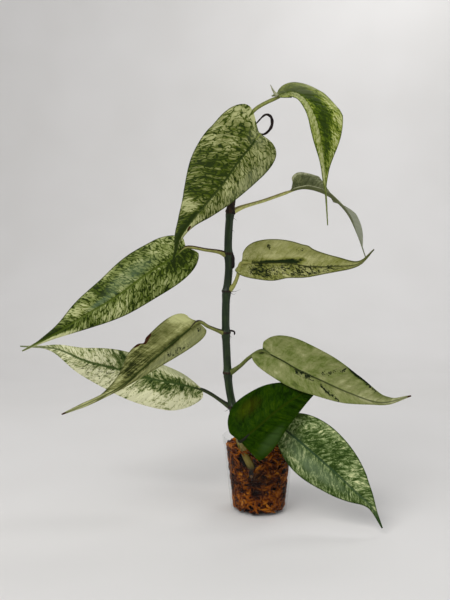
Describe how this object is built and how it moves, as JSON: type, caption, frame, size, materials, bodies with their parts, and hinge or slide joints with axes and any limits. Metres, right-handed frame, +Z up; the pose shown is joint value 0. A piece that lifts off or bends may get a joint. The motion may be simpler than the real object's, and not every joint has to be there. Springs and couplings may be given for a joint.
{
  "type": "potted marbled climbing aroid",
  "caption": "Upright climbing aroid in a small clear nursery pot of sphagnum moss: one dark stem with marbled green and cream leaves that end in long drip tips.",
  "frame": {"origin": "middle of the pot's foot, on the surface that it stands on", "axes": "+Z up along the pot's axis; -Y towards the side that the plant is looked at from; +X to that viewer's right"},
  "size_m": [0.3052, 0.1318, 0.3494],
  "materials": {
    "clear_plastic": "clear, thin and glossy",
    "sphagnum": "damp fibrous moss, matt",
    "root": "matt, fibrous",
    "stem": "dark green skin, waxy sheen",
    "dry_root": "dry and matt",
    "marbled_leaf": "green marbled with cream, satin",
    "pale_leaf": "pale olive underside with dark flecks, matt",
    "green_leaf": "dark green, satin"
  },
  "bodies": {
    "root": {"pot": "clear_plastic", "moss": "sphagnum", "roots": "root", "stem": "stem", "aerial_root": "dry_root", "leaf_a": "marbled_leaf", "leaf_b": "marbled_leaf", "leaf_c": "marbled_leaf", "leaf_d": "marbled_leaf", "leaf_e": "pale_leaf", "leaf_f": "pale_leaf", "leaf_g": "marbled_leaf", "leaf_h": "pale_leaf", "leaf_i": "green_leaf", "leaf_j": "marbled_leaf"}
  },
  "joints": []
}
